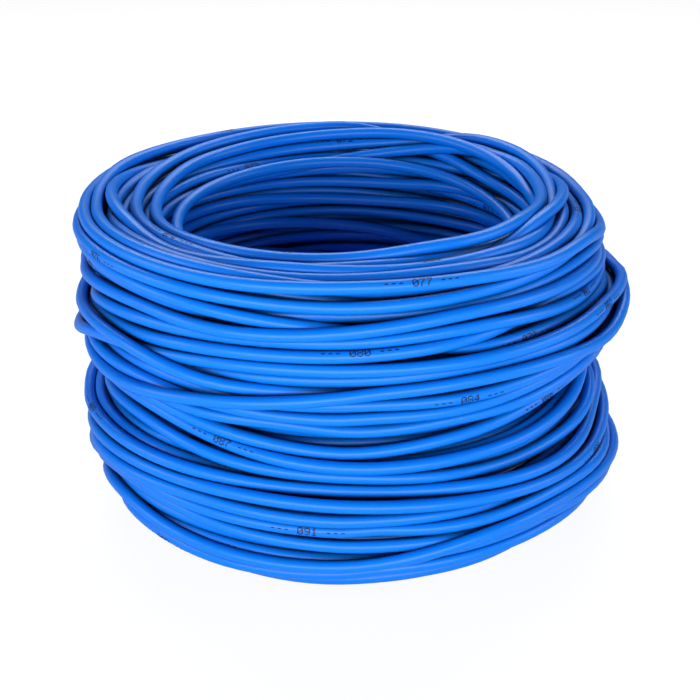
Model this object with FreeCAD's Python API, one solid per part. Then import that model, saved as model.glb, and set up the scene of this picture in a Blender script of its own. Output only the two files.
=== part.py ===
"""A bare coil of four-pair network cable, standing on its end.

Millimetres, +Z up. The origin is on the floor, on the axis of the bore.
The inner layers are one plain ring about a straight bore. Its lobed wall leans: each band of turns has
slipped a little to the right or the left. The outer layer is wound over it as one unbroken tube, from
the cut outer end at the foot of the back wall, up the wall, over the crown and into the mouth of the
bore, where the cut inner end lies.
"""

import FreeCAD
import Part
import math
import os

# The cable
CABLE_DIAMETER = 5.2
SHEATH_WALL = 0.55
INSULATION_DIAMETER = 0.9
CONDUCTOR_DIAMETER = 0.51
INSULATION_BORE_CLEARANCE = 0.015
RIP_CORD_DIAMETER = 0.4
PAIR_CIRCLE_RADIUS = 1.22
WIRE_GAP = 0.03

# The ring of inner layers
BORE_RADIUS = 77.0
RING_HEIGHT = 135.5
RING_BUILD = 38.0
LEAN = 5.2
CROWN_DISH = 5.0
MOUTH_BEVEL = 4.0
RING_SIDES = 36

# The breaks of its wall from the floor up: share of the ring's height, share of the build out from the
# bore, and share of the lean by which it has slipped to the right
BASE_RIM = (0.0, 0.28, 0.75)
FOOT = (0.09, 0.75, 0.75)
LOWER_SHOULDER = (0.165, 0.93, 0.65)
LOWER_LOBE = (0.27, 1.0, 0.1)
LOWER_WAIST = (0.4, 0.88, -0.55)
WAIST = (0.525, 0.8, -0.5)
UPPER_LOBE_FOOT = (0.665, 0.92, -0.15)
UPPER_LOBE_TOP = (0.775, 0.93, 0.3)
UPPER_SHOULDER = (0.915, 0.83, -0.7)
CROWN = (1.0, 0.63, -1.0)

# The outer layer of turns
TURN_GAP = 3.2
SEAT_CLEARANCE = 0.6
TURN_LOOSENESS = 1.0
TURN_TILT = 3.0
TILT_DIRECTION = 20.0
START_ANGLE = 90.0
START_CLEARANCE = 0.4
INNER_END_DEPTH = 9.5
TUBE_SIDES = 4

# The two cut ends
END_LENGTH = 14.0
WIRE_PROUD = 0.5
WIRE_UNEVENNESS = 0.2
CONDUCTOR_PROUD = 0.3
WIRE_SIDES = 6

PAIRS = ("blue", "orange", "green", "brown")
PAIR_TURNS = (14.0, 8.0, 18.0, 11.0)

cable_radius = CABLE_DIAMETER / 2
sheath_bore_radius = cable_radius - SHEATH_WALL
# A tube of few sides holds as much as the round cable when its corners stand this far out
corner_radius = cable_radius * math.sqrt(2 * math.pi / (TUBE_SIDES * math.sin(2 * math.pi / TUBE_SIDES)))
up = FreeCAD.Vector(0, 0, 1)


def ring_outline():
    """(radius, height, slip) of the ring's breaks: base rim, lobed wall, crown, mouth and down the bore."""
    wall = (
        BASE_RIM,
        FOOT,
        LOWER_SHOULDER,
        LOWER_LOBE,
        LOWER_WAIST,
        WAIST,
        UPPER_LOBE_FOOT,
        UPPER_LOBE_TOP,
        UPPER_SHOULDER,
        CROWN,
    )
    outline = []
    for height_share, build_share, lean_share in wall:
        outline.append((BORE_RADIUS + RING_BUILD * build_share, RING_HEIGHT * height_share, LEAN * lean_share))
    mouth_height = RING_HEIGHT - CROWN_DISH
    outline.append((BORE_RADIUS + MOUTH_BEVEL, mouth_height, 0.0))
    outline.append((BORE_RADIUS, mouth_height - MOUTH_BEVEL, 0.0))
    return outline


def make_inner_turns(outline):
    """The ring of inner layers: the outline, closed down the bore, stepped round the axis in flat facets."""
    section = outline + [(BORE_RADIUS, 0.0, 0.0)]
    step = 2 * math.pi / RING_SIDES
    facets = []
    for side in range(RING_SIDES):
        for start, end in zip(section, section[1:] + section[:1]):
            corners = []
            for (radius, height, slip), turned in ((start, side), (end, side), (end, side + 1), (start, side + 1)):
                angle = step * (turned % RING_SIDES)
                across = radius * math.cos(angle) + slip
                corners.append(FreeCAD.Vector(across, radius * math.sin(angle), height))
            facets.append(Part.Face(Part.makePolygon(corners + corners[:1])))
    shell = Part.Shell(facets)
    shell.sewShape()
    return Part.Solid(shell)


def edge_normal(start, end):
    """The unit normal, to the right of the way from start to end, so that it points out of the ring."""
    along_radius = end[0] - start[0]
    along_height = end[1] - start[1]
    length = math.hypot(along_radius, along_height)
    return along_height / length, -along_radius / length


class Seat:
    """The line on the ring's section that the turns are seated on, with its outward normal."""

    def __init__(self, outline):
        self.points = list(outline)
        self.points.append((BORE_RADIUS, outline[-1][1] - INNER_END_DEPTH, 0.0))
        edges = list(zip(self.points, self.points[1:]))
        normals = [edge_normal(start, end) for start, end in edges]
        self.normals = [normals[0]]
        for before, after in zip(normals, normals[1:]):
            length = math.hypot(before[0] + after[0], before[1] + after[1])
            self.normals.append(((before[0] + after[0]) / length, (before[1] + after[1]) / length))
        self.normals.append(normals[-1])
        self.marks = [0.0]
        for start, end in edges:
            self.marks.append(self.marks[-1] + math.dist(start[:2], end[:2]))
        self.length = self.marks[-1]

    def centre(self, distance, standoff):
        """(radius, height, slip) at a distance along the line, stood off from the ring along the normal."""
        index = 0
        while index < len(self.marks) - 2 and distance > self.marks[index + 1]:
            index += 1
        span = self.marks[index + 1] - self.marks[index]
        share = (distance - self.marks[index]) / span
        radius, height, slip = (a + share * (b - a) for a, b in zip(self.points[index], self.points[index + 1]))
        normal = [a + share * (b - a) for a, b in zip(self.normals[index], self.normals[index + 1])]
        reach = standoff / math.hypot(*normal)
        return radius + reach * normal[0], height + reach * normal[1], slip


class Winding:
    """The centreline of the outer layer: a helix whose pitch is measured along the seat line."""

    def __init__(self, seat):
        self.seat = seat
        normal = seat.normals[0]
        standoff = corner_radius + SEAT_CLEARANCE
        rise = (seat.points[1][1] - seat.points[0][1]) / seat.marks[1]
        lowest = corner_radius + START_CLEARANCE
        self.first = (lowest - standoff * normal[1]) / rise
        run = seat.length - self.first
        pitch = 2 * corner_radius + TURN_GAP
        self.turns = math.floor(run / pitch - 0.5) + 0.5
        self.pitch = run / self.turns
        straight = CABLE_DIAMETER + END_LENGTH
        self.tip_rise = straight**2 / (2 * (BORE_RADIUS - cable_radius))

    def point(self, turn):
        """The centreline after so many turns."""
        angle = math.radians(START_ANGLE) + 2 * math.pi * turn
        middle = math.sin(math.pi * min(max(turn / self.turns, 0), 1))
        tilt = TURN_TILT * middle * math.sin(angle - math.radians(TILT_DIRECTION))
        loose = TURN_LOOSENESS * middle * (0.5 + 0.5 * math.sin(0.618 * angle))
        last = min(max(1 + 2 * (turn - self.turns), 0), 1)
        lift = self.tip_rise * last**2 * (3 - 2 * last)
        standoff = corner_radius + SEAT_CLEARANCE + loose + lift
        radius, height, slip = self.seat.centre(self.first + self.pitch * turn + tilt, standoff)
        return FreeCAD.Vector(radius * math.cos(angle) + slip, radius * math.sin(angle), height)

    def tangent(self, turn):
        """The unit direction of the centreline there."""
        step = 0.0005
        return (self.point(turn + step) - self.point(turn - step)).normalize()


def arc_leaving(start, tangent, end):
    """The arc that leaves start along the tangent and passes through end."""
    chord = end - start
    along = FreeCAD.Vector(chord).normalize()
    aside = tangent - along * tangent.dot(along)
    half_angle = math.atan2(aside.Length, tangent.dot(along))
    sagitta = chord.Length / 2 * math.tan(half_angle / 2)
    middle = start + chord / 2 + aside.normalize() * sagitta
    return Part.Arc(start, middle, end).toShape()


def biarc(start, start_tangent, end, end_tangent):
    """Two arcs that meet smoothly, from one point and direction to the other."""
    chord = end - start
    both = start_tangent + end_tangent
    turned = 2 * (1 - start_tangent.dot(end_tangent))
    reach = (-chord.dot(both) + math.sqrt(chord.dot(both) ** 2 + turned * chord.dot(chord))) / turned
    joint = (start + end + (start_tangent - end_tangent) * reach) / 2
    back = arc_leaving(end, end_tangent * -1, joint)
    return [arc_leaving(start, start_tangent, joint), back]


def make_outer_turns(winding):
    """The outer layer: a many-sided tube along quarter-turn biarcs, with a straight run at each end."""
    quarters = round(4 * winding.turns)
    stations = [(winding.point(q / 4), winding.tangent(q / 4)) for q in range(quarters + 1)]
    first, first_tangent = stations[0]
    last, last_tangent = stations[-1]
    outer_end = first - first_tangent * CABLE_DIAMETER
    inner_end = last + last_tangent * CABLE_DIAMETER
    edges = [Part.makeLine(outer_end, first)]
    for (start, leaving), (end, arriving) in zip(stations, stations[1:]):
        edges += biarc(start, leaving, end, arriving)
    edges.append(Part.makeLine(last, inner_end))
    spine = Part.Wire(Part.__sortEdges__(edges))
    section = polygon(outer_end, first_tangent, corner_radius, TUBE_SIDES, math.pi / TUBE_SIDES)
    shell = Part.BRepOffsetAPI.MakePipeShell(spine)
    shell.add(section)
    shell.build()
    shell.makeSolid()
    tube = shell.shape()
    area = Part.Face(section).Area
    print("outer turns:", winding.turns, "loops of", round(spine.Length / 1000, 2), "m")
    print("tube volume over section times length:", round(tube.Volume / (area * spine.Length), 4))
    return tube, (outer_end, first_tangent * -1), (inner_end, last_tangent)


def least_gap(winding, steps=72):
    """The least gap between the tube and itself, on points set every few degrees."""
    count = round(winding.turns * steps)
    points = [winding.point(i / steps) for i in range(count + 1)]
    least = math.inf
    for i, point in enumerate(points):
        for other in points[i + steps // 2 :]:
            least = min(least, point.distanceToPoint(other))
    return least - 2 * corner_radius


def side_directions(axis):
    """Two directions square to the axis and to each other, the second as upright as it can be."""
    across = axis.cross(up).normalize()
    return across, across.cross(axis).normalize()


def polygon(centre, axis, radius, sides, turned=0.0):
    """A regular closed outline about the centre, square to the axis, its first corner turned from level."""
    across, upright = side_directions(axis)
    corners = []
    for side in range(sides):
        angle = turned + 2 * math.pi * side / sides
        corners.append(centre + across * (radius * math.cos(angle)) + upright * (radius * math.sin(angle)))
    return Part.makePolygon(corners + corners[:1])


def prism(centre, axis, radius, sides, length):
    """A many-sided bar along the axis."""
    return Part.Face(polygon(centre, axis, radius, sides)).extrude(axis * length)


def wire_places(end, axis):
    """The centre of each of the eight wires at a cut end, pair by pair, by name."""
    across, upright = side_directions(axis)
    apart = (INSULATION_DIAMETER + WIRE_GAP) / 2
    places = {}
    for number, (colour, turned) in enumerate(zip(PAIRS, PAIR_TURNS)):
        angle = math.radians(45 + 90 * number)
        lie = angle + math.pi / 2 + math.radians(turned)
        for name, side in ((colour, 1), ("white_" + colour, -1)):
            x = PAIR_CIRCLE_RADIUS * math.cos(angle) + side * apart * math.cos(lie)
            y = PAIR_CIRCLE_RADIUS * math.sin(angle) + side * apart * math.sin(lie)
            places[name] = end + across * x + upright * y
    return places


def make_sheath_end(end, axis):
    """The open last length of the sheath, from the tube's end face to the cut."""
    outside = Part.makeCylinder(cable_radius, END_LENGTH, end, axis)
    return outside.cut(Part.makeCylinder(sheath_bore_radius, END_LENGTH, end, axis))


def make_wire(centre, axis, length):
    """The insulation of one wire, with the bore that holds its conductor."""
    bore = CONDUCTOR_DIAMETER / 2 + INSULATION_BORE_CLEARANCE
    outside = prism(centre, axis, INSULATION_DIAMETER / 2, WIRE_SIDES, length)
    return outside.cut(prism(centre, axis, bore, WIRE_SIDES, length))


def make_ends(ends):
    """The sheath, wires, conductors and rip cord at both cut ends, by node name."""
    nodes = {}
    for end, axis in ends:
        nodes.setdefault("sheath_ends", []).append(make_sheath_end(end, axis))
        for number, (name, centre) in enumerate(wire_places(end, axis).items()):
            uneven = WIRE_UNEVENNESS * math.sin(2.4 * number)
            length = END_LENGTH + WIRE_PROUD + uneven
            conductor = prism(centre, axis, CONDUCTOR_DIAMETER / 2, WIRE_SIDES, length + CONDUCTOR_PROUD)
            nodes.setdefault(name + "_wire", []).append(make_wire(centre, axis, length))
            nodes.setdefault(name + "_conductor", []).append(conductor)
        cord = prism(end, axis, RIP_CORD_DIAMETER / 2, WIRE_SIDES, END_LENGTH + WIRE_PROUD)
        nodes.setdefault("rip_cord", []).append(cord)
    return nodes


def least_wire_gap():
    """The least gap between two wires, and between a wire and the sheath, at a cut end."""
    places = list(wire_places(FreeCAD.Vector(0, 0, 0), FreeCAD.Vector(1, 0, 0)).values())
    between = math.inf
    for i, place in enumerate(places):
        for other in places[i + 1 :]:
            between = min(between, place.distanceToPoint(other) - INSULATION_DIAMETER)
    to_sheath = sheath_bore_radius - max(p.Length for p in places) - INSULATION_DIAMETER / 2
    return between, to_sheath


def main():
    os.makedirs("parts", exist_ok=True)
    outline = ring_outline()
    winding = Winding(Seat(outline))
    tube, outer, inner = make_outer_turns(winding)
    nodes = {"inner_turns": [make_inner_turns(outline)], "outer_turns": [tube]}
    nodes.update(make_ends([outer, inner]))
    print("least gap of the outer turns:", round(least_gap(winding), 2), "mm")
    print("least gaps of the wires:", [round(gap, 3) for gap in least_wire_gap()], "mm")
    for name, solids in nodes.items():
        shape = solids[0] if len(solids) == 1 else Part.makeCompound(solids)
        print(name, "solids", len(shape.Solids), "valid", shape.isValid(), "volume", round(shape.Volume, 2))
        shape.exportStep("parts/" + name + ".step")


main()
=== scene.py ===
"""The looks of a bare coil of blue network cable: every turn, the two cut ends and the studio."""

import math

import bpy
import numpy as np
from bpy.props import FloatProperty, IntProperty, PointerProperty, StringProperty
from bpy.types import Operator, Panel, PropertyGroup
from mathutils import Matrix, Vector


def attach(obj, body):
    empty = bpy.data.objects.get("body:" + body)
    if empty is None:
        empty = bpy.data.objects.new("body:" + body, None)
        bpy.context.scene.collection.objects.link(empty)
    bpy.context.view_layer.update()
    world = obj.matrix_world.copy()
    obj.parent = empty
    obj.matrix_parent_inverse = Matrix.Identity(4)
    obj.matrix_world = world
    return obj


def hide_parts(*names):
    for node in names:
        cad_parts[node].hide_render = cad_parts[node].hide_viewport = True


bl_info = {
    "name": "Network cable coil",
    "version": (1, 0, 0),
    "blender": (4, 5, 0),
    "location": "View3D > Sidebar > Cable coil",
    "description": "Winds a bare coil of network cable turn by turn and dresses its cut ends",
    "category": "Object",
}

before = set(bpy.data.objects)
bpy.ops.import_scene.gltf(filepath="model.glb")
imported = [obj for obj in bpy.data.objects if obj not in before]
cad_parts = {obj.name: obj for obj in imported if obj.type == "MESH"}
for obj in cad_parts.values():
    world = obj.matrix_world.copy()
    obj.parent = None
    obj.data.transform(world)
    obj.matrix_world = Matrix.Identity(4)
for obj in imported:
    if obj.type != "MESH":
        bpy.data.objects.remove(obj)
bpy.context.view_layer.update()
MM = 0.001

# Where the cable meets its two cut ends, in mm, and which way it runs there. The last stations
# before the outer one, STUB_STATIONS of them, lie straight in line with it, and the cable comes to
# that line END_RUN diameters before it.
INNER_FACE = np.array([5.198, -70.664, 116.849])
INNER_RUN = np.array([-1.0, 0.0, 0.029])
OUTER_FACE = np.array([9.099, 100.095, 3.859])
OUTER_RUN = np.array([1.0, -0.014, -0.009])
STUB_STATIONS = 4
END_RUN = 1.75

# The sheath is three meshes end to end, because one cord may be no longer than 60 m.
PARTS = 3
SHEATH_MAP = "sheath_length"

# The printed numbers: how far apart they are and each one strays, how far apart their dots are,
# and how far the ink stands off, in metres. MARK_TWIST is how far one turns aside from facing out,
# in radians, MARK_CENTRE the column and the row of dots in its middle, and MARK_BORE how far from
# the bore, in mm, a number still faces into it.
MARK_PITCH = 0.5
MARK_STRAY = 0.05
MARK_TWIST = 0.5
MARK_CENTRE = (8.0, 3.0)
MARK_BORE = 5.0
DOT_PITCH = 0.00045
INK_LIFT = 0.00004

# The wires' insulation as it is sold, and the pitch in metres of the coloured rings on the white
# wires.
WIRE_COLOURS = {"blue": "#1552A8", "orange": "#E8741C", "green": "#1B8A3C", "brown": "#6B3A1E"}
RING_PITCH = 0.001935

# The stations of one turn: the cable runs from the back to the right, the front and the left.
BINS = 96
STEP = 360.0 / BINS
# How a push on one station of the stiff cable is shared with its neighbours.
STIFF = np.array([1, 4, 6, 4, 1]) / 16
# How a sharp bend in it evens out, while a long one stays.
BEAM = np.array([-1, 4, 10, 4, -1]) / 16

# In mm: the bore, the highest radius at which an inner layer follows the wall, the radius where the
# crown goes over into the wall, the height below which the base is pressed longer, and the heights
# at which the layers' tilt has died down.
BORE_RADIUS = 77.0
WIDEST_WALL = 116.0
CROWN_CORNER = 103.0
BASE_HEIGHT = 14.0
LOWEST = 3.0
HIGHEST = 134.0

# The skin as it is reckoned with: how many places it has, over how many of them it is smoothed,
# the grid of radii and heights in mm for each of which the nearest of them is looked up, and that
# only every GRID_SKIPS-th of them is tried there.
SKIN_PLACES = 700
SKIN_BLUR = 8
GRID_RADII = (70.0, 140.0)
GRID_HEIGHTS = (0.0, 150.0)
GRID_STEP = 0.5
GRID_SKIPS = 4

# How many diameters of the cable lie under the skin: the inner layers, the inner layers while they
# settle alone, the wild layers before and while they settle, and the outer turns where nothing is
# under them.
INNER_DEPTH = 2.6
INNER_INSET = 2.0
WILD_DEPTH = 1.8
WILD_INSET = 0.75
OUTER_DEPTH = 0.7
# What keeps the loose turns in the bore from being pressed at all, in mm.
LOOSE_INSET = -20.0

# How the lines of the winding stray, each as the reach in stations and the size: the inner layers
# up and down and in their tilt, in mm, the angle at which they tilt, in radians, the wild layers
# and how far each outer turn stands out, in mm.
INNER_STRAY = (20, 0.7)
TILT_STRAY = (BINS * 2.0, 1.0)
TILT_TURN = (BINS * 3.0, 1.2)
WILD_STRAYS = ((13, 4.0), (30, 7.0))
SLACK_STRAY = (22, 1.2)

# How much more the first layer tilts than the others, over how many mm the tilt dies down towards
# the floor and the crown, and what is left of it there.
FIRST_TILT = 2.4
TILT_FADE = 16.0
TILT_LEAST = 0.1

# Each outer turn is looser or tighter than the line by so much, in mm, and never by more than
# MOST_SLACK with what it strays.
TURN_SLACK = (-1.6, 1.4)
MOST_SLACK = 2.6

# How a turn is laid on the ones before: how far aside another still carries it and how far it may
# stand out, in diameters, then how deep another still counts and how deep it sinks on its own, in
# mm.
CARRIED = 0.66
MOST_PROUD = 0.9
DEEPEST = -14.0
SUNK = -4.0

# Rounds of settling after the inner layers and after the wild ones, and at the end, how many of the
# last ones go without pressing, on the wall and at the base, and how many stations of an end are
# held.
ROUNDS = 250
LAST_ROUNDS = 540
FREE_ROUNDS = 110
FREE_BASE_ROUNDS = 50
HELD_REACH = 24

# How the turns settle. Every PAIR_ROUNDS rounds the pairs nearer than PAIR_REACH diameters are
# looked up. Each round takes in PRESS of what a station stands out, of MOST_PRESS mm at most, and
# gives out TAUT of what it lies deeper than SLACK_DEPTH mm, of that many mm at most. PUSH of a
# pair's push is taken, less of it where more than one turn pushes, and SLIDE of what a station has
# moved along the skin is taken back.
PAIR_REACH = 1.4
PAIR_ROUNDS = 12
PRESS = 0.35
MOST_PRESS = 2.0
TAUT = 0.15
SLACK_DEPTH = 1.5
PUSH = 1.5
SLIDE = 0.012

# The seeds of the winding and of the printed numbers' places.
LAY_SEED = 24
MARK_SEED = 7

# How far the turns at each height have slipped to the right, in mm: the coil leans.
LEAN = (
    (0.0, 1.6),
    (16.0, 2.0),
    (28.0, 2.8),
    (37.0, 0.8),
    (47.0, -2.6),
    (56.0, -2.8),
    (70.0, -2.9),
    (84.0, -2.0),
    (92.0, 0.3),
    (99.0, 1.6),
    (106.0, 1.2),
    (112.0, -2.4),
    (119.0, -5.6),
    (128.0, -5.2),
    (145.0, -5.2),
)

# The line that the middles of the outermost turns keep within, from the mouth of the bore over the
# crown and down the wall to the base.
SKIN = (
    (79.6, 118.0),
    (79.7, 125.0),
    (80.6, 129.0),
    (83.6, 132.4),
    (88.5, 134.0),
    (94.0, 135.0),
    (99.6, 135.4),
    (103.0, 134.4),
    (104.8, 131.4),
    (105.6, 126.0),
    (106.4, 120.0),
    (108.6, 113.0),
    (112.4, 105.0),
    (113.4, 98.0),
    (112.0, 90.0),
    (108.6, 81.0),
    (106.4, 71.0),
    (108.4, 60.0),
    (112.2, 52.0),
    (115.0, 45.0),
    (115.4, 37.0),
    (113.4, 29.0),
    (109.6, 22.6),
    (104.2, 16.8),
    (97.8, 11.6),
    (92.4, 7.2),
    (89.0, 4.0),
    (86.4, 2.6),
    (84.0, 2.6),
)

# Turns on the crown, first laid first: the radius in mm at 45, 0, 315, 270, 225, 180, 135 and 90
# degrees.
CROWN_ANGLES = (45, 0, -45, -90, -135, -180, -225, -270)
CROWN_TURNS = (
    (96, 97, 100, 101, 99, 95, 97, 98),
    (84, 80, 81, 84, 82, 80.5, 80, 81),
    (88, 91.5, 93, 88, 83, 81, 85, 88),
    (85, 84, 87, 91, 88, 87, 94, 100),
    (98, 91.5, 94, 98, 92.5, 98, 106, 107.5),
    (107, 102.5, 104, 105.5, 105, 106.5, 108, 109),
)

# Turns on the wall, first laid first: the height in mm at 350, 335, 315, 295, 270, 245, 222, 205
# and 190 degrees. Round the back, where the photo shows nothing, a turn goes over to the next one
# through BACK_PARTS of the way, each with a seeded stray of up to BACK_STRAY mm.
WALL_ANGLES = (-10, -25, -45, -65, -90, -115, -138, -155, -170)
WALL_TURNS = (
    (132.5, 131.5, 130, 129.5, 129.5, 130.5, 131, 131, 130),
    (128, 131.7, 132, 133.2, 133.9, 135.1, 135, 135.4, 136),
    (123.5, 125, 125.5, 125.5, 125.4, 125, 124.5, 124, 123),
    (117, 121, 122.5, 121, 118.5, 122.3, 125.5, 123.5, 119.5),
    (107, 108.5, 109.6, 111, 121.4, 127.5, 130.4, 129.6, 127),
    (121, 124, 125, 125.6, 121.1, 118.8, 119.3, 117, 113),
    (113, 116, 117.5, 114, 111.5, 109.8, 105.5, 102, 97),
    (110, 112.3, 114.4, 115.8, 116.6, 114.4, 112.1, 108.5, 104),
    (99.5, 101, 102, 102.5, 101.8, 99.5, 97, 94, 91),
    (103, 105.5, 105.8, 105.9, 106, 104.5, 99.5, 96, 88),
    (93, 96, 98, 97, 94, 96.5, 101, 100, 97),
    (96, 94.5, 92.5, 90.8, 90.5, 90.5, 89, 87, 84),
    (89.5, 89, 87.5, 85.5, 85.7, 87.1, 87.5, 88, 88),
    (85.5, 86, 83, 79, 76.6, 83.1, 87, 87, 84),
    (80, 76, 73.5, 70.7, 68, 72.1, 78, 79.5, 76),
    (99, 96, 98.5, 99.4, 96.8, 92.3, 87.5, 85, 84),
    (72, 66.5, 63, 62.7, 63.4, 67.6, 72, 71.5, 69),
    (60, 56, 55, 56, 59.3, 61.4, 65, 64, 61),
    (51.5, 50.4, 49, 51, 54.4, 55, 54.5, 53.8, 52),
    (44, 43.5, 44.5, 46.8, 49.1, 49.9, 47.8, 45, 41),
    (31, 34, 38.7, 41.6, 43.1, 44.3, 44, 42, 37),
    (36, 37, 37.5, 38, 38.1, 39.1, 39.5, 38.5, 34),
    (26, 28, 30, 31, 31, 32.6, 35, 33, 28),
    (18, 20, 21, 19, 16, 15, 16, 16, 13),
    (8.5, 10.5, 12, 10.5, 7, 7.5, 9, 8, 6),
    (28.5, 31.5, 34, 33, 24, 22, 24, 25, 21),
)
BACK_PARTS = (0.27, 0.5, 0.73)
BACK_STRAY = 2.2
# The height in mm at which the last turn comes to the outer cut end.
LAST_HEIGHT = 3.5

# The loose turns that hang inside the bore: (turned through, radius, height) from the inner cut end
# on, where x and y in mm are LOOSE_START. They pass over into the first layer at LOOSE_END turns.
LOOSE_START = (5.2, -71.0)
LOOSE = (
    (0, 70.7, 116.9),
    (12, 70.8, 117.1),
    (45, 72.6, 120.4),
    (95, 74.4, 125.0),
    (140, 75.5, 128.5),
    (185, 77.0, 131.0),
    (215, 76.5, 128.5),
    (245, 74.0, 123.0),
    (275, 72.4, 116.5),
    (300, 72.6, 111.0),
    (360, 74.0, 104.0),
    (455, 74.4, 108.0),
    (545, 74.4, 96.0),
    (635, 74.4, 82.0),
    (725, 74.4, 86.0),
    (800, 74.4, 98.0),
    (860, 74.4, 90.0),
    (930, 74.4, 72.0),
    (1000, 74.4, 62.0),
    (1090, 74.4, 66.0),
    (1170, 74.4, 56.0),
    (1240, 74.4, 44.0),
    (1340, 74.4, 50.0),
    (1430, 74.4, 38.0),
    (1520, 74.4, 22.0),
    (1600, 76.0, 8.0),
)
LOOSE_END = 5

# The inner layers in the order in which they are wound: turns, height of the first and of the last
# one in mm.
LAYERS = (
    (20, 4.0, 126.0),
    (17, 128.0, 3.5),
    (17, 3.0, 127.0),
    (17, 127.0, 3.5),
    (4, 8.0, 56.0),
    (3, 56.0, 12.0),
    (18, 7.0, 124.0),
)

# The wild layers under the outer turns: turns, and the place along the skin of the first and the
# last, in mm. They keep within the two margins from the mouth of the bore and from the base, the
# harder the larger WILD_BEND is.
WILD_LAYERS = ((13, 16.0, 194.0), (13, 194.0, 18.0))
WILD_MARGINS = (13.0, 8.0)
WILD_BEND = 2.3

# Dot-matrix figures 0 to 9, seven rows of five dots each, one bit for each dot.
FIGURES = (
    (14, 17, 19, 21, 25, 17, 14),
    (4, 12, 4, 4, 4, 4, 14),
    (14, 17, 1, 2, 4, 8, 31),
    (31, 2, 4, 2, 1, 17, 14),
    (2, 6, 10, 18, 31, 2, 2),
    (31, 16, 30, 1, 1, 17, 14),
    (6, 8, 16, 30, 17, 17, 14),
    (31, 1, 2, 4, 8, 8, 8),
    (14, 17, 17, 14, 17, 17, 14),
    (14, 17, 17, 15, 1, 2, 12),
)

# The softboxes: name, place and size in metres, and power in watts. They aim at LIT_POINT.
LAMPS = (
    ("front_softbox", (-0.1, -1.1, 0.26), (2.0, 0.5), 19.0),
    ("left_softbox", (-1.1, -0.2, 0.4), (0.6, 0.5), 3.5),
    ("right_softbox", (1.1, -0.2, 0.4), (0.6, 0.5), 3.5),
    ("back_softbox", (0.0, 0.7, 0.9), (1.4, 0.6), 12.0),
)
LIT_POINT = (0.0, 0.0, 0.07)
FLOOR_HALF = 6.0
SENSOR_WIDTH = 36.0


def flow(at, knots, values):
    """A smooth line through knots: cubic Hermite pieces with the mean slope at each knot."""
    at, knots, values = (np.asarray(v, float) for v in (at, knots, values))
    slopes = np.gradient(values, knots)
    i = np.clip(np.searchsorted(knots, at) - 1, 0, len(knots) - 2)
    span = knots[i + 1] - knots[i]
    t = np.clip((at - knots[i]) / span, 0.0, 1.0)
    a, b = values[i], values[i + 1]
    p, q = slopes[i] * span, slopes[i + 1] * span
    return a + t * (p + t * (3 * (b - a) - 2 * p - q + t * (2 * (a - b) + p + q)))


def blurred(values, reach):
    """values along the cable, each the Gaussian mean of its neighbours, reach stations wide."""
    half = int(3 * reach) + 1
    weights = np.exp(-0.5 * (np.arange(-half, half + 1) / reach) ** 2)
    return np.convolve(np.pad(values, half, mode="edge"), weights / weights.sum(), "valid")


def swollen(values, reach):
    """values along the cable, each the largest of its neighbours up to reach stations away."""
    wide = np.pad(values, reach, mode="edge")
    return np.max([wide[i : i + len(values)] for i in range(2 * reach + 1)], axis=0)


def lean(height, angle):
    """What the lean adds to the radius at that height and angle: the slip times the cosine."""
    knots, slips = np.array(LEAN).T
    return np.interp(height, knots, slips) * np.cos(np.radians(angle))


class Skin:
    """The line that the outer turns lie along, measured from the mouth of the bore."""

    def __init__(self):
        corners = np.array(SKIN)
        along = np.concatenate([[0], np.cumsum(np.hypot(*np.diff(corners, axis=0).T))])
        self.distance = np.linspace(0, along[-1], SKIN_PLACES)
        self.radius = blurred(flow(self.distance, along, corners[:, 0]), SKIN_BLUR)
        self.height = blurred(flow(self.distance, along, corners[:, 1]), SKIN_BLUR)
        slope = np.gradient(self.radius), np.gradient(self.height)
        size = np.hypot(*slope)
        self.out_radius, self.out_height = -slope[1] / size, slope[0] / size
        self.wall = int(np.argmax(self.radius > CROWN_CORNER))
        sides = (np.arange(*span, GRID_STEP) for span in (GRID_RADII, GRID_HEIGHTS))
        across, up = np.meshgrid(*sides, indexing="ij")
        places = zip(self.radius[::GRID_SKIPS], self.height[::GRID_SKIPS])
        gaps = [(across - r) ** 2 + (up - z) ** 2 for r, z in places]
        self.nearest = GRID_SKIPS * np.argmin(gaps, axis=0)

    def outside(self, radius, height):
        """How far each place is outside the skin, and the skin's direction there."""
        wide, high = self.nearest.shape
        i = np.clip(np.rint((radius - GRID_RADII[0]) / GRID_STEP), 0, wide - 1).astype(int)
        j = np.clip(np.rint((height - GRID_HEIGHTS[0]) / GRID_STEP), 0, high - 1).astype(int)
        k = self.nearest[i, j]
        nr, nz = self.out_radius[k], self.out_height[k]
        return (radius - self.radius[k]) * nr + (height - self.height[k]) * nz, nr, nz

    def at(self, distance, line):
        """The value of one of the skin's lines at that distance."""
        return np.interp(distance, self.distance, line)

    def on_crown(self, radius):
        """The distance of a place on the crown, from its radius."""
        return np.interp(radius, self.radius[: self.wall], self.distance[: self.wall])

    def on_wall(self, height):
        """The distance of a place on the wall, from its height."""
        down = -np.asarray(height, float)
        return np.interp(down, -self.height[self.wall :], self.distance[self.wall :])


def wander(count, reach, size, rng):
    """A smooth random line of count stations: white noise under a Gaussian, scaled to that size."""
    line = blurred(rng.standard_normal(count), reach)
    return size * line / line.std()


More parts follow.
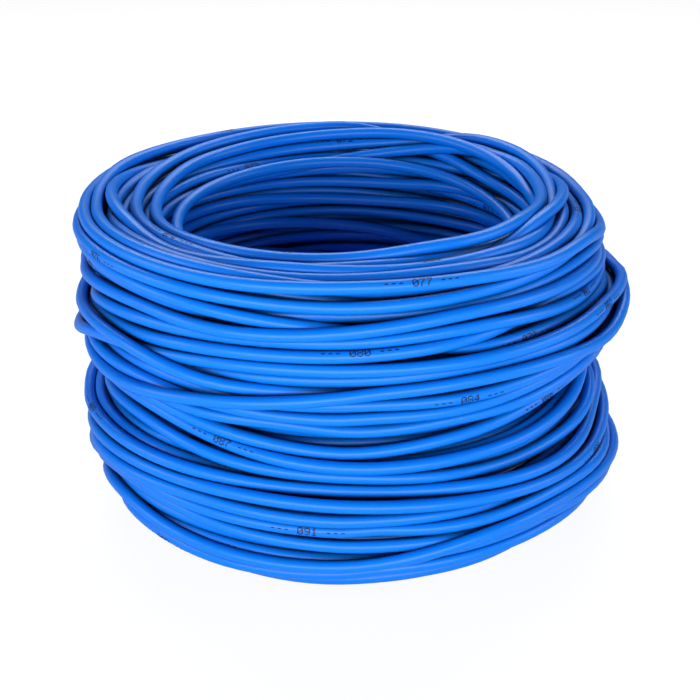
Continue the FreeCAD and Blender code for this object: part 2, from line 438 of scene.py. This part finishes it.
def inner_layers(skin, diameter, rng):
    """Radius and height of the loose turns and the inner layers at each station.

    A layer climbs or sinks at a steady rate. Its radius is a fixed share of the way from the bore
    to INNER_DEPTH under the skin, and the share grows through the half turn in which it reverses.
    """
    start = (90.0 - math.degrees(math.atan2(LOOSE_START[1], LOOSE_START[0]))) / STEP
    loose = np.array(LOOSE)
    first = math.ceil(start)
    stop = LOOSE_END * BINS
    stations = np.arange(first, stop)
    turned = (stations - start) * STEP
    radius = [flow(np.minimum(turned, loose[-1, 0]), loose[:, 0], loose[:, 1])]
    height = [flow(np.minimum(turned, loose[-1, 0]), loose[:, 0], loose[:, 2])]
    shares, heights = [], []
    for n, (turns, low, high) in enumerate(LAYERS):
        count = turns * BINS
        shares.append(np.full(count, n / (len(LAYERS) - 1)))
        heights.append(np.linspace(low, high, count, endpoint=False))
    share = blurred(np.concatenate(shares), BINS / 12)
    height_in = np.concatenate(heights)
    count = len(height_in)
    height_in = blurred(height_in, 6) + wander(count, *INNER_STRAY, rng)
    wild = 1.0 + FIRST_TILT * (np.arange(count) < LAYERS[0][0] * BINS)
    tilt = wild * wander(count, *TILT_STRAY, rng)
    low = np.clip((height_in - LOWEST) / TILT_FADE, TILT_LEAST, 1.0)
    high = np.clip((HIGHEST - height_in) / TILT_FADE, TILT_LEAST, 1.0)
    tilt *= low * high
    turn = 2 * math.pi * np.arange(count) / BINS
    height_in += tilt * np.cos(turn + wander(count, *TILT_TURN, rng))
    height_in = np.maximum(height_in, diameter / 2)
    wall = skin.at(skin.on_wall(height_in), skin.radius)
    outer = np.minimum(wall, WIDEST_WALL) - INNER_DEPTH * diameter
    bore = BORE_RADIUS + diameter / 2
    radius_in = bore + (outer - bore) * share
    radius.append(radius_in)
    height.append(height_in)
    return first, blurred(np.concatenate(radius), 3), blurred(np.concatenate(height), 3)


def wild_lay(skin, rng):
    """The distance along the skin at each station of the wild layers, which wander far up and down.

    It is a straight sweep and two smooth random lines, and the hyperbolic tangent of its distance
    from the middle keeps it within the margins.
    """
    lay = np.concatenate([np.linspace(low, high, turns * BINS) for turns, low, high in WILD_LAYERS])
    near, far = (wander(len(lay), *stray, rng) for stray in WILD_STRAYS)
    lay = blurred(lay, 10) + near + far
    low, high = WILD_MARGINS[0], skin.distance[-1] - WILD_MARGINS[1]
    middle = (lay - low) / (high - low) - 0.5
    bent = np.tanh(WILD_BEND * middle) / math.tanh(WILD_BEND / 2)
    return low + (high - low) * 0.5 * (1 + bent)


def smooth(part):
    """A smooth step from 0 to 1, level at both ends."""
    return part * part * (3 - 2 * part)


def joined(radius, height, at):
    """The climb from one layer's last turn to the next one's first, a step half a turn long."""
    rising = smooth(np.arange(BINS // 2) / (BINS / 2))
    for line in (radius, height):
        climb = line[at : at + BINS // 2]
        climb += (1 - rising) * (line[at - 1] - climb)


def outer_lay(skin, rng):
    """The distance along the skin at each station of the outer turns and of the last stretch."""
    knots, places = [], []
    for n, turn in enumerate(CROWN_TURNS):
        knots += [360 * n + 90 - a for a in CROWN_ANGLES]
        places += list(skin.on_crown(np.array(turn, float)))
    base = 360 * len(CROWN_TURNS)
    hidden = 360 - (WALL_ANGLES[0] - WALL_ANGLES[-1])
    for n, turn in enumerate(WALL_TURNS):
        knots += [base + 360 * n + 90 - a for a in WALL_ANGLES]
        places += list(skin.on_wall(np.array(turn, float)))
        if n + 1 < len(WALL_TURNS):
            a, b = (float(skin.on_wall(h)) for h in (turn[-1], WALL_TURNS[n + 1][0]))
            for part in BACK_PARTS:
                knots.append(base + 360 * n + 90 - WALL_ANGLES[-1] + hidden * part)
                places.append(a + (b - a) * smooth(part) + rng.uniform(-BACK_STRAY, BACK_STRAY))
    total = base + 360 * len(WALL_TURNS)
    last = float(skin.on_wall(LAST_HEIGHT))
    # Over the last 60 degrees the cable sinks to the outer cut end, at the back.
    knots += [total - 60, total - 20, total + 4]
    places += [0.5 * (places[-1] + last), last - 1.5, last]
    order = np.argsort(knots)
    stations = np.arange(int(total / STEP) + 1)
    return flow(stations * STEP, np.array(knots)[order], np.array(places)[order])


def dropped(first, radius, height, lay, skin, diameter, depth):
    """Radius and height at each station of the turns of lay, laid one after another on the others.

    At each station a turn comes in along the skin's normal and stops a diameter from the middle of
    the first turn that it meets, or sunk a little into a gap. A stiff cable bridges gaps, so how
    far it stands out is the largest of its neighbours' values, smoothed along the cable.
    """
    turns = (first + len(radius) + len(lay)) // BINS + 2
    laid = np.full((2, turns * BINS), np.nan)
    laid[0, first : first + len(radius)] = radius
    laid[1, first : first + len(radius)] = height
    begin = first + len(radius)
    chunk = BINS // 4
    proud = np.zeros(0)
    for low in range(0, len(lay), chunk):
        part = lay[low : low + chunk]
        stations = begin + low + np.arange(len(part))
        angle = 90.0 - stations * STEP
        z0 = skin.at(part, skin.height)
        nr, nz = skin.at(part, skin.out_radius), skin.at(part, skin.out_height)
        r0 = skin.at(part, skin.radius) + lean(z0, angle) - depth * diameter * nr
        z0 = np.maximum(z0 - depth * diameter * nz, diameter / 2)
        earlier = laid.reshape(2, turns, BINS)[:, : (begin + low) // BINS + 1, stations % BINS]
        dr, dz = earlier[0] - r0, earlier[1] - z0
        along = dr * nr + dz * nz
        aside = np.abs(dr * nz - dz * nr)
        with np.errstate(invalid="ignore"):
            reach = along + np.sqrt(np.maximum(diameter**2 - aside**2, 0))
            reach = np.where((aside < CARRIED * diameter) & (along > DEEPEST), reach, SUNK)
        reach = np.nan_to_num(reach, nan=SUNK)
        found = np.minimum(reach.max(axis=0), (depth + MOST_PROUD) * diameter)
        run = np.concatenate([proud[-12:], found])
        eased = blurred(swollen(run, 2), 2.0)[len(run) - len(found) :]
        eased = np.maximum(eased, blurred(found, 1.0))
        proud = np.concatenate([proud, eased])
        laid[0, stations] = r0 + nr * eased
        laid[1, stations] = z0 + nz * eased
    end = begin + len(lay)
    return laid[0, first:end], laid[1, first:end]


def settled(first, radius, height, skin, diameter, inset, rounds, held=0.0, taut=0.0):
    """The turns pushed apart until none lies in another, and pressed in to within the skin.

    Turns that pass the same angle are circles in one upright plane. Each pair that is nearer than a
    diameter is pushed apart by half of what it lacks, each turn outside the skin is pressed in, and
    what each station has moved is smoothed along the cable, which is stiff. inset is how far inside
    the skin a station is to stay, held how much of its move is taken back, and taut how firmly one
    that has sunk is drawn out again.
    """
    count = len(radius)
    stations = first + np.arange(count)
    turns = stations[-1] // BINS + 1
    slip = lean(height, 90.0 - stations * STEP)
    grid = np.full((2, turns * BINS), 1e6)
    rest = np.stack([radius, height])
    moved = np.zeros_like(rest)
    bore = np.where(stations > LOOSE_END * BINS, BORE_RADIUS + diameter / 2, 0.0)
    for n in range(rounds):
        now = rest + moved
        if n % PAIR_ROUNDS == 0:
            grid[:, stations] = now
            table = grid.reshape(2, turns, BINS).astype(np.float32)
            found = []
            for gap in range(1, turns):
                d = table[:, gap:] - table[:, :-gap]
                near = np.argwhere((d * d).sum(axis=0) < (diameter * PAIR_REACH) ** 2)
                if len(near):
                    low = near[:, 0] * BINS + near[:, 1]
                    found.append(np.stack([low, low + gap * BINS]))
            pairs = np.concatenate(found, axis=1) - first
            pairs = pairs[:, (pairs[0] >= 0) & (pairs[1] < count)]
        proud, nr, nz = skin.outside(now[0] - slip, now[1])
        # The inset fades out where the skin faces down, at the foot.
        deep = inset * np.clip(1 + 1.2 * nz, 0, 1)
        press = np.clip(proud + deep, 0, MOST_PRESS) * PRESS
        press -= taut * np.clip(-proud - SLACK_DEPTH, 0, SLACK_DEPTH) * TAUT
        base = (now[1] < BASE_HEIGHT) & (n < rounds - FREE_BASE_ROUNDS)
        press *= (n < rounds - FREE_ROUNDS) | base
        moved[0] -= press * nr
        moved[1] -= press * nz
        a, b = pairs
        gap = now[:, b] - now[:, a]
        short = np.maximum(diameter - np.hypot(*gap), 0) * 0.5
        # Turns that lie nearly in one another have no clear way apart, so they go sideways.
        gap[0] += 0.5 * (short > 0.3 * diameter)
        push = gap / np.maximum(np.hypot(*gap), 0.1) * short
        hits = np.bincount(a, short > 0, count) + np.bincount(b, short > 0, count)
        part = PUSH / np.maximum(hits, 1) ** 0.7
        for axis in range(2):
            change = np.bincount(b, push[axis], count) - np.bincount(a, push[axis], count)
            moved[axis] += change * part
            moved[axis] = np.convolve(np.pad(moved[axis], 2, mode="edge"), STIFF, "valid")
            whole = rest[axis] + moved[axis]
            moved[axis] = np.convolve(np.pad(whole, 2, mode="edge"), BEAM, "valid") - rest[axis]
        slid = SLIDE * (moved[0] * nz - moved[1] * nr)
        moved[0] -= slid * nz
        moved[1] += slid * nr
        moved[0] = np.maximum(moved[0], bore - rest[0])
        moved[1] = np.maximum(moved[1], diameter / 2 - rest[1])
        moved *= 1 - held
    now = rest + moved
    return now[0], now[1]


def grip(count, reach):
    """How firmly each station is held: 1 at the first ones, down to 0 over reach stations."""
    return smooth(np.clip(1.2 - np.arange(count) / reach, 0, 1))


def wind_cable(diameter):
    """The points of the whole cable in metres, from the inner cut end to the outer one."""
    rng = np.random.default_rng(LAY_SEED)
    skin = Skin()
    first, radius, height = inner_layers(skin, diameter, rng)
    stations = first + np.arange(len(radius))
    # The bore stays upright, and the layers outside it lean the more the wider they are.
    share = np.clip((radius - 79.0) / 30.0, 0, 1)
    radius = radius + share * lean(height, 90.0 - stations * STEP)
    inset = np.where(stations < LOOSE_END * BINS, LOOSE_INSET, INNER_INSET * diameter)
    start = grip(len(radius), HELD_REACH)
    radius, height = settled(first, radius, height, skin, diameter, inset, ROUNDS, start)
    inner = len(radius)
    lay = wild_lay(skin, rng)
    radius, height = dropped(first, radius, height, lay, skin, diameter, WILD_DEPTH)
    joined(radius, height, inner)
    inset = np.concatenate([inset, np.full(len(lay), WILD_INSET * diameter)])
    start = grip(len(radius), HELD_REACH)
    radius, height = settled(first, radius, height, skin, diameter, inset, ROUNDS, start)
    inner = len(radius)
    lay = outer_lay(skin, rng)
    radius, height = dropped(first, radius, height, lay, skin, diameter, OUTER_DEPTH)
    joined(radius, height, inner)
    stub = np.radians(90.0 - STEP * np.arange(1, STUB_STATIONS + 1))
    radius = np.append(radius, OUTER_FACE[1] / np.sin(stub))
    height = np.append(height, np.full(STUB_STATIONS, OUTER_FACE[2]))
    ending = OUTER_FACE - END_RUN * diameter * OUTER_RUN
    held = smooth(np.clip((np.arange(-len(radius), 0) + STUB_STATIONS) / 20.0 + 1.15, 0, 1))
    both = np.maximum(held, grip(len(radius), HELD_REACH))
    blend = np.where(np.arange(len(radius)) < len(radius) - STUB_STATIONS, held, 0.0)
    radius += blend * (np.hypot(ending[0], ending[1]) - radius)
    height += blend * (ending[2] - height)
    outer = len(radius) - inner
    slack = np.zeros(len(radius))
    own = blurred(np.repeat(rng.uniform(*TURN_SLACK, outer // BINS + 1), BINS)[:outer], 12)
    slack[inner:] = np.clip(own + wander(outer, *SLACK_STRAY, rng), -MOST_SLACK, MOST_SLACK)
    taut = np.where(np.arange(len(radius)) < inner, 0.0, 1.0)
    radius, height = settled(first, radius, height, skin, diameter, -slack, LAST_ROUNDS, both, taut)
    angle = np.radians(90.0 - (first + np.arange(len(radius))) * STEP)
    points = np.stack([radius * np.cos(angle), radius * np.sin(angle), height], axis=1)
    starting = [INNER_FACE, INNER_FACE + diameter * INNER_RUN]
    ending = [OUTER_FACE - diameter * OUTER_RUN, OUTER_FACE]
    return np.concatenate([starting, points[2 : -1 - STUB_STATIONS], ending]) * MM


def spline_line(points, name):
    """The points of a smooth line: a quadratic NURBS spline with points as its control points."""
    curve = bpy.data.curves.new(name, "CURVE")
    curve.dimensions = "3D"
    curve.resolution_u = 1
    spline = curve.splines.new("NURBS")
    spline.points.add(len(points) - 1)
    spline.points.foreach_set("co", np.column_stack([points, np.ones(len(points))]).ravel())
    spline.order_u = 3
    spline.use_endpoint_u = True
    holder = bpy.data.objects.new(name, curve)
    mesh = bpy.data.meshes.new_from_object(holder)
    line = np.zeros(len(mesh.vertices) * 3, np.float32)
    mesh.vertices.foreach_get("co", line)
    bpy.data.meshes.remove(mesh)
    bpy.data.objects.remove(holder)
    bpy.data.curves.remove(curve)
    return line.reshape(-1, 3).astype(float)


def frames(line):
    """Tangent, outward level direction and third direction at each point of a nearly level line."""
    tangent = np.gradient(line, axis=0)
    tangent /= np.linalg.norm(tangent, axis=1, keepdims=True)
    side = np.cross([0.0, 0.0, 1.0], tangent)
    side /= np.linalg.norm(side, axis=1, keepdims=True)
    return tangent, side, np.cross(tangent, side)


def tube(name, line, radius, sides, start=0.0):
    """A mesh tube, a circle carried along the line, and how far along the cable it ends.

    Its UV map holds the length in metres from the inner cut end, start at its own beginning, and
    the share of the way round.
    """
    tangent, side, top = frames(line)
    angle = 2 * math.pi * np.arange(sides) / sides
    ring = side[:, None] * np.cos(angle)[None, :, None]
    ring = ring + top[:, None] * np.sin(angle)[None, :, None]
    points = (line[:, None] + radius * ring).reshape(-1, 3)
    rings = len(line)
    i, j = np.meshgrid(np.arange(rings - 1), np.arange(sides), indexing="ij")
    k = (j + 1) % sides
    here, ahead = i * sides, (i + 1) * sides
    quads = np.stack([here + j, here + k, ahead + k, ahead + j], axis=-1)
    mesh = bpy.data.meshes.new(name)
    mesh.vertices.add(len(points))
    mesh.vertices.foreach_set("co", points.ravel())
    quads = quads.reshape(-1, 4)
    mesh.loops.add(quads.size)
    mesh.loops.foreach_set("vertex_index", quads.ravel().astype(np.int32))
    mesh.polygons.add(len(quads))
    mesh.polygons.foreach_set("loop_start", np.arange(0, quads.size, 4, dtype=np.int32))
    mesh.polygons.foreach_set("use_smooth", np.ones(len(quads), bool))
    mesh.update(calc_edges=True)
    along = start + np.concatenate([[0], np.cumsum(np.linalg.norm(np.diff(line, axis=0), axis=1))])
    u = along[np.stack([i, i, i + 1, i + 1], axis=-1)]
    v = np.stack([j, j + 1, j + 1, j], axis=-1) / sides
    uv = mesh.uv_layers.new(name=SHEATH_MAP)
    uv.data.foreach_set("uv", np.stack([u, v], axis=-1).ravel().astype(np.float32))
    mesh.validate()
    made = bpy.data.objects.new(name, mesh)
    bpy.context.scene.collection.objects.link(made)
    return made, float(along[-1])


def cable_line(*names):
    """The middle line of finished tubes, end to end: the mean of each ring of their points."""
    lines = []
    for name in names:
        mesh = bpy.data.objects[name].data
        points = np.zeros(len(mesh.vertices) * 3, np.float32)
        mesh.vertices.foreach_get("co", points)
        sides = bpy.context.scene.coil_cable.sides
        lines.append(points.reshape(-1, sides, 3).mean(axis=1)[len(lines) > 0 :])
    return np.concatenate(lines).astype(float)


def dots(number):
    """Columns and rows of the dots of a three-figure number with three dashes on each side."""
    places = []
    for n, figure in enumerate("%03d" % number):
        for row, bits in enumerate(FIGURES[int(figure)]):
            places += [(6 * n + column, 6 - row) for column in range(5) if bits >> (4 - column) & 1]
    for n in (-4, -3, -2, 4, 5, 6):
        places += [(6 * n + column, 3) for column in (1, 2, 3)]
    return np.array(places, float)


def linear(hex_colour):
    """An sRGB hex colour as linear red, green, blue and 1."""
    parts = [int(hex_colour[i : i + 2], 16) / 255 for i in (1, 3, 5)]
    parts = [p / 12.92 if p <= 0.04045 else ((p + 0.055) / 1.055) ** 2.4 for p in parts]
    return (*parts, 1.0)


def add_node(tree, kind, links=(), **settings):
    """A node of that kind with its settings, and links given as (input, other node, output)."""
    node = tree.nodes.new(kind)
    for key, value in settings.items():
        if key.startswith("in_"):
            node.inputs[key[3:].replace("_", " ")].default_value = value
        else:
            setattr(node, key, value)
    for socket, other, output in links:
        tree.links.new(other.outputs[output], node.inputs[socket])
    return node


def sheath_material(colour):
    """Extruded PVC sheath, whose colour is its own all through.

    The eye gets a strong even blue with a smooth, slightly rippled gloss. The grooves between the
    strands have painted shade: ambient occlusion mixes the base colour towards navy there, because
    light reaches little of them.
    """
    material = bpy.data.materials.new("extruded_pvc_sheath")
    material.use_nodes = True
    tree = material.node_tree
    tree.nodes.clear()
    uv = add_node(tree, "ShaderNodeUVMap", uv_map=SHEATH_MAP)
    stretch = add_node(tree, "ShaderNodeMapping", [("Vector", uv, "UV")])
    stretch.inputs["Scale"].default_value = (60.0, 6.0, 1.0)
    ripple = add_node(
        tree, "ShaderNodeTexNoise", [("Vector", stretch, "Vector")], in_Scale=1.0, in_Detail=2.0
    )
    bump = add_node(
        tree, "ShaderNodeBump", [("Height", ripple, "Fac")], in_Strength=0.12, in_Distance=0.0004
    )
    shader = add_node(
        tree,
        "ShaderNodeBsdfPrincipled",
        [("Normal", bump, "Normal")],
        in_Roughness=0.34,
        in_IOR=1.53,
    )
    shader.inputs["Specular IOR Level"].default_value = 0.25
    # Painted shade: where ambient occlusion finds little open space, between the strands, the base
    # colour is mixed towards dark navy.
    painted_groove_shade = add_node(tree, "ShaderNodeAmbientOcclusion", samples=6, in_Distance=0.009)
    depth = add_node(
        tree, "ShaderNodeMapRange", [("Value", painted_groove_shade, "AO")], interpolation_type="SMOOTHSTEP"
    )
    depth.inputs["From Min"].default_value = 0.05
    depth.inputs["From Max"].default_value = 0.6
    shade = add_node(tree, "ShaderNodeMix", [("Factor", depth, "Result")], data_type="RGBA")
    shade.inputs["A"].default_value = linear("#000A2C")
    shade.inputs["B"].default_value = linear(colour)
    tree.links.new(shade.outputs["Result"], shader.inputs["Base Color"])
    add_node(tree, "ShaderNodeOutputMaterial", [("Surface", shader, "BSDF")])
    return material


def end_material(name, colour, roughness=0.4, ior=1.5, metallic=0.0, ring=None):
    """A material of the cut ends or the ink: the eye gets a plain colour with a fine grain.

    A ring colour gives the white wires their rings, by how far along X a place is, in pitches.
    """
    material = bpy.data.materials.new(name)
    material.use_nodes = True
    tree = material.node_tree
    tree.nodes.clear()
    place = add_node(tree, "ShaderNodeTexCoord")
    grain = add_node(
        tree, "ShaderNodeTexNoise", [("Vector", place, "Object")], in_Scale=4000.0, in_Detail=2.0
    )
    bump = add_node(
        tree, "ShaderNodeBump", [("Height", grain, "Fac")], in_Strength=0.2, in_Distance=0.00003
    )
    shader = add_node(
        tree, "ShaderNodeBsdfPrincipled", [("Normal", bump, "Normal")], in_Roughness=roughness
    )
    shader.inputs["Metallic"].default_value = metallic
    if metallic == 0.0:
        shader.inputs["IOR"].default_value = ior
    shade = add_node(tree, "ShaderNodeMix", data_type="RGBA")
    shade.inputs["A"].default_value = linear(colour)
    tree.links.new(shade.outputs["Result"], shader.inputs["Base Color"])
    if ring:
        apart = add_node(tree, "ShaderNodeSeparateXYZ", [("Vector", place, "Object")])
        count = add_node(tree, "ShaderNodeMath", [(0, apart, "X")], operation="DIVIDE")
        count.inputs[1].default_value = RING_PITCH
        left = add_node(tree, "ShaderNodeMath", [(0, count, "Value")], operation="FRACT")
        band = add_node(tree, "ShaderNodeMath", [(0, left, "Value")], operation="GREATER_THAN")
        band.inputs[1].default_value = 0.5
        tree.links.new(band.outputs["Value"], shade.inputs["Factor"])
        shade.inputs["B"].default_value = linear(ring)
    else:
        speck = add_node(tree, "ShaderNodeMapRange", [("Value", grain, "Fac")])
        speck.inputs["From Min"].default_value = 0.45
        speck.inputs["From Max"].default_value = 0.8
        speck.inputs["To Max"].default_value = 0.15
        tree.links.new(speck.outputs["Result"], shade.inputs["Factor"])
        shade.inputs["B"].default_value = linear("#101010")
    add_node(tree, "ShaderNodeOutputMaterial", [("Surface", shader, "BSDF")])
    return material


def paper_material():
    """White paper, near white to the camera with the coil's faint shadow and dim in the gloss."""
    material = bpy.data.materials.new("white_paper_sweep")
    material.use_nodes = True
    tree = material.node_tree
    tree.nodes.clear()
    path = add_node(tree, "ShaderNodeLightPath")
    seen = add_node(
        tree,
        "ShaderNodeMath",
        [(0, path, "Is Glossy Ray"), (1, path, "Is Transmission Ray")],
        operation="ADD",
        use_clamp=True,
    )
    white = add_node(tree, "ShaderNodeEmission", in_Strength=0.4)
    paper = add_node(tree, "ShaderNodeBsdfDiffuse")
    paper.inputs["Color"].default_value = linear("#EEEEEE")
    grey = add_node(tree, "ShaderNodeBsdfDiffuse")
    grey.inputs["Color"].default_value = linear("#707070")
    glow = add_node(tree, "ShaderNodeEmission", in_Strength=0.9)
    lit = add_node(tree, "ShaderNodeAddShader", [(0, grey, "BSDF"), (1, glow, "Emission")])
    bounce = add_node(
        tree,
        "ShaderNodeMixShader",
        [(0, seen, "Value"), (1, paper, "BSDF"), (2, white, "Emission")],
    )
    mix = add_node(
        tree,
        "ShaderNodeMixShader",
        [(0, path, "Is Camera Ray"), (1, bounce, "Shader"), (2, lit, "Shader")],
    )
    add_node(tree, "ShaderNodeOutputMaterial", [("Surface", mix, "Shader")])
    return material


def studio_air():
    """A world that the camera sees white and that gives only a little light."""
    world = bpy.data.worlds.new("studio_air")
    world.use_nodes = True
    tree = world.node_tree
    tree.nodes.clear()
    path = add_node(tree, "ShaderNodeLightPath")
    dim = add_node(tree, "ShaderNodeBackground", in_Strength=0.06)
    dim.inputs["Color"].default_value = (1, 1, 1, 1)
    bright = add_node(tree, "ShaderNodeBackground", in_Strength=1.0)
    bright.inputs["Color"].default_value = (1, 1, 1, 1)
    mix = add_node(
        tree,
        "ShaderNodeMixShader",
        [(0, path, "Is Camera Ray"), (1, dim, "Background"), (2, bright, "Background")],
    )
    add_node(tree, "ShaderNodeOutputWorld", [("Surface", mix, "Shader")])
    return world


class CableSettings(PropertyGroup):
    """The sizes of the cable."""

    diameter: FloatProperty(
        name="Cable diameter",
        description="Outside of the sheath",
        default=0.0052,
        unit="LENGTH",
        precision=4,
    )
    sides: IntProperty(
        name="Sides",
        description="Flat sides of the sheath's mesh",
        default=12,
        min=8,
        max=16,
    )
    colour: StringProperty(
        name="Sheath colour",
        description="sRGB hex colour of the PVC",
        default="#0273E2",
    )


class StudioSettings(PropertyGroup):
    """The camera's place and lens."""

    distance: FloatProperty(
        name="Camera distance",
        description="From the point aimed at",
        default=0.68,
        unit="LENGTH",
    )
    elevation: FloatProperty(
        name="Elevation",
        description="Of the camera above the floor",
        default=math.radians(23.9),
        unit="ROTATION",
    )
    aim: FloatProperty(
        name="Aim height",
        description="Of the point aimed at",
        default=0.065,
        unit="LENGTH",
    )
    lens: FloatProperty(
        name="Lens",
        description="Focal length in millimetres on a sensor 36 mm wide",
        default=77.97,
    )


class COIL_OT_wind(Operator):
    """Winds the whole cable and lays its sheath along it"""

    bl_idname = "coil.wind"
    bl_label = "Wind the cable"

    def execute(self, context):
        cable = context.scene.coil_cable
        points = wind_cable(cable.diameter / MM)
        line = spline_line(points, "cable_route")
        material = sheath_material(cable.colour)
        cuts = np.linspace(0, len(line) - 1, PARTS + 1).astype(int)
        start = 0.0
        for n in range(PARTS):
            part = line[cuts[n] : cuts[n + 1] + 1]
            made, end = tube("turns_%d" % (n + 1), part, cable.diameter / 2, cable.sides, start)
            made.data.materials.append(material)
            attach(made, "root")
            if n == 0:
                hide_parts("inner_turns", "outer_turns")
            start = end
        return {"FINISHED"}


class COIL_OT_mark(Operator):
    """Prints the plain metre numbers along the sheath, on the side that faces out of the coil"""

    bl_idname = "coil.mark"
    bl_label = "Print the metre numbers"

    def execute(self, context):
        radius = context.scene.coil_cable.diameter / 2
        rng = np.random.default_rng(MARK_SEED)
        skin = Skin()
        line = cable_line(*("turns_%d" % (n + 1) for n in range(PARTS)))
        side, top = frames(line)[1:]
        along = np.concatenate([[0], np.cumsum(np.linalg.norm(np.diff(line, axis=0), axis=1))])
        square = DOT_PITCH * 0.5 * np.array([(-1, -1), (1, -1), (1, 1), (-1, 1)])
        corners = []
        for n in range(1, 2 * int(along[-1])):
            centre = MARK_PITCH * n + rng.uniform(-MARK_STRAY, MARK_STRAY)
            x, y, z = (np.interp(centre, along, line[:, k]) / MM for k in range(3))
            reach = math.hypot(x, y)
            nr, nz = skin.outside(np.array([reach]), np.array([z]))[1:]
            facing = math.atan2(nz[0], nr[0]) + rng.uniform(-MARK_TWIST, MARK_TWIST)
            if reach < BORE_RADIUS + MARK_BORE:
                facing = math.pi + rng.uniform(-MARK_TWIST, MARK_TWIST)
            spot = dots(n // 2) - MARK_CENTRE
            way = -1 if math.cos(facing) > 0 else 1
            spot = (DOT_PITCH * spot[:, None] + square[None]).reshape(-1, 2)
            u = centre + way * spot[:, 0]
            around = facing + spot[:, 1] / radius * (-way)
            base, outward, third = (
                np.stack([np.interp(u, along, part[:, k]) for k in range(3)], axis=1)
                for part in (line, side, top)
            )
            out = outward * np.cos(around)[:, None]
            out += third * np.sin(around)[:, None]
            corners.append(base + out * (radius + INK_LIFT))
        points = np.concatenate(corners)
        faces = np.arange(len(points)).reshape(-1, 4)
        mesh = bpy.data.meshes.new("metre_numbers")
        mesh.from_pydata(points.tolist(), [], faces.tolist())
        mesh.update()
        made = bpy.data.objects.new("metre_numbers", mesh)
        context.scene.collection.objects.link(made)
        mesh.materials.append(end_material("pigment_printing_ink", "#020A20", roughness=0.55))
        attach(made, "root")
        return {"FINISHED"}


class COIL_OT_ends(Operator):
    """Gives the sheath, the eight wires and the rip cord at the two cut ends their materials"""

    bl_idname = "coil.ends"
    bl_label = "Dress the cut ends"

    def execute(self, context):
        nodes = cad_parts
        copper = end_material("drawn_copper", "#D08A5C", roughness=0.22, metallic=1.0)
        sheath = end_material("cut_pvc_sheath", context.scene.coil_cable.colour, roughness=0.36)
        dressed = {"sheath_ends": sheath}
        dressed["rip_cord"] = end_material("polyester_rip_cord", "#E8E2D4", roughness=0.8)
        for colour, value in WIRE_COLOURS.items():
            solid = end_material("polyethylene_" + colour, value)
            ringed = end_material("ringed_polyethylene_" + colour, "#F0EEE8", ring=value)
            dressed[colour + "_wire"] = solid
            dressed["white_" + colour + "_wire"] = ringed
            dressed[colour + "_conductor"] = copper
            dressed["white_" + colour + "_conductor"] = copper
        for name, material in dressed.items():
            mesh = nodes[name].data
            mesh.materials.clear()
            mesh.materials.append(material)
        return {"FINISHED"}


class COIL_OT_studio(Operator):
    """Makes the pale floor, the lamps and the camera"""

    bl_idname = "coil.studio"
    bl_label = "Build the studio"

    def execute(self, context):
        studio = context.scene.coil_studio
        floor_mesh = bpy.data.meshes.new("studio_floor")
        half = FLOOR_HALF
        corners = [(-half, -half, 0), (half, -half, 0), (half, half, 0), (-half, half, 0)]
        floor_mesh.from_pydata(corners, [], [(0, 1, 2, 3)])
        floor = bpy.data.objects.new("studio_floor", floor_mesh)
        context.scene.collection.objects.link(floor)
        floor_mesh.materials.append(paper_material())

        context.scene.world = studio_air()

        for name, place, size, power in LAMPS:
            light = bpy.data.lights.new(name, "AREA")
            light.shape = "RECTANGLE"
            light.energy, light.size, light.size_y = power, *size
            lamp = bpy.data.objects.new(name, light)
            context.scene.collection.objects.link(lamp)
            lamp.location = place
            aim = Vector(LIT_POINT) - Vector(place)
            lamp.rotation_euler = aim.to_track_quat("-Z", "Y").to_euler()

        lens = bpy.data.cameras.new("camera")
        lens.lens, lens.sensor_width = studio.lens, SENSOR_WIDTH
        camera = bpy.data.objects.new("camera", lens)
        context.scene.collection.objects.link(camera)
        back = Vector((0, -math.cos(studio.elevation), math.sin(studio.elevation)))
        camera.location = Vector((0, 0, studio.aim)) + back * studio.distance
        camera.rotation_euler = (-back).to_track_quat("-Z", "Y").to_euler()
        context.scene.camera = camera
        context.scene.view_settings.view_transform = "Standard"
        return {"FINISHED"}


class COIL_PT_panel(Panel):
    """The coil's sizes and the steps that build it"""

    bl_idname = "COIL_PT_panel"
    bl_label = "Cable coil"
    bl_space_type = "VIEW_3D"
    bl_region_type = "UI"
    bl_category = "Cable coil"

    def draw(self, context):
        for group in (context.scene.coil_cable, context.scene.coil_studio):
            for name in group.__annotations__:
                self.layout.prop(group, name)
        for operator in OPERATORS:
            self.layout.operator(operator.bl_idname)


OPERATORS = (COIL_OT_wind, COIL_OT_mark, COIL_OT_ends, COIL_OT_studio)
CLASSES = (CableSettings, StudioSettings, *OPERATORS, COIL_PT_panel)


def register():
    for cls in CLASSES:
        bpy.utils.register_class(cls)
    bpy.types.Scene.coil_cable = PointerProperty(type=CableSettings)
    bpy.types.Scene.coil_studio = PointerProperty(type=StudioSettings)


def unregister():
    del bpy.types.Scene.coil_studio
    del bpy.types.Scene.coil_cable
    for cls in reversed(CLASSES):
        bpy.utils.unregister_class(cls)


def main():
    register()
    bpy.ops.coil.wind()
    bpy.ops.coil.mark()
    bpy.ops.coil.ends()
    bpy.ops.coil.studio()


if __name__ == "__main__":
    main()
